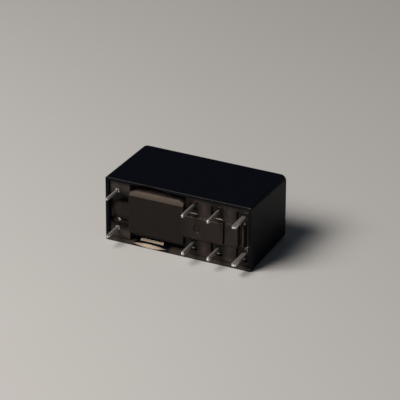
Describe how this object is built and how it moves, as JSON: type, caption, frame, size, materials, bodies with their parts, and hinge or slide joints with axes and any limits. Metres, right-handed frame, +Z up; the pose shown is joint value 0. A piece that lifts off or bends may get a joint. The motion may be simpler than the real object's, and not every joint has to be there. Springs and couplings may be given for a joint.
{
  "type": "pcb power relay",
  "caption": "Sealed black box relay for a circuit board, lying on its side, with tinned pins, a hinged armature, an actuator card and changeover contacts.",
  "frame": {"origin": "centre of the body's length and width on the seating plane that meets the circuit board", "axes": "+X along the body to the contact end, -Y out of the seating plane along the pins, +Z up across the pin rows, because the relay lies on its long side"},
  "size_m": [0.029, 0.0192, 0.0126],
  "materials": {
    "cover": "glossy moulded black",
    "base": "matt moulded charcoal",
    "resin": "glossy cast resin",
    "tinned_pins": "dull bright tin",
    "copper": "enamelled copper wire",
    "bobbin": "matt moulded black",
    "iron": "nickel-plated soft iron",
    "spring_bronze": "rolled spring bronze",
    "card": "natural moulded cream",
    "contact_silver": "silver alloy"
  },
  "bodies": {
    "housing": {"cover": "cover", "base": "base", "sealing_resin": "resin", "coil_pin_1": "tinned_pins", "coil_pin_2": "tinned_pins", "coil_lead_1": "copper", "coil_lead_2": "copper", "coil_bobbin": "bobbin", "coil_winding": "copper", "iron_core": "iron", "yoke": "iron", "nc_terminal_1": "tinned_pins", "nc_terminal_2": "tinned_pins", "nc_contact_1": "contact_silver", "nc_contact_2": "contact_silver", "common_terminal_1": "tinned_pins", "common_terminal_2": "tinned_pins", "no_terminal_1": "tinned_pins", "no_terminal_2": "tinned_pins", "no_contact_1": "contact_silver", "no_contact_2": "contact_silver"},
    "armature": {"armature": "iron"},
    "return_spring": {"armature_spring": "spring_bronze"},
    "card": {"actuator_card": "card"},
    "leaf_1": {"contact_leaf_1": "spring_bronze", "moving_contact_1": "contact_silver"},
    "leaf_2": {"contact_leaf_2": "spring_bronze", "moving_contact_2": "contact_silver"}
  },
  "joints": [
    {"name": "armature_hinge", "type": "hinge", "parent": "housing", "child": "armature", "pos_m": [-0.01175, 0.00312, 0], "axis": [0, 0, -1], "range_deg": [0, 3.59], "stiffness_Nm_per_rad": 0.004, "springref_deg": -1.72},
    {"name": "return_spring_flex", "type": "hinge", "parent": "housing", "child": "return_spring", "pos_m": [-0.01287, 0.003, 0], "axis": [0, 0, -1], "range_deg": [0, 3.52]},
    {"name": "card_pivot", "type": "hinge", "parent": "armature", "child": "card", "pos_m": [-0.0115, 0.01355, 0], "axis": [0, 0, -1], "range_deg": [-3.7, 0]},
    {"name": "contact_leaf_1_flex", "type": "hinge", "parent": "housing", "child": "leaf_1", "pos_m": [0.00736, 0.0044, 0.00375], "axis": [0, 0, -1], "range_deg": [0, 4.22]},
    {"name": "contact_leaf_2_flex", "type": "hinge", "parent": "housing", "child": "leaf_2", "pos_m": [0.00736, 0.0044, -0.00375], "axis": [0, 0, -1], "range_deg": [0, 4.22]}
  ],
  "couplings": [
    {"joint": "card_pivot", "follows": "armature_hinge", "ratio": -1},
    {"joint": "return_spring_flex", "follows": "armature_hinge", "ratio": 0.95},
    {"joint": "contact_leaf_1_flex", "follows": "armature_hinge", "ratio": 1.1399},
    {"joint": "contact_leaf_2_flex", "follows": "armature_hinge", "ratio": 1.1399}
  ]
}
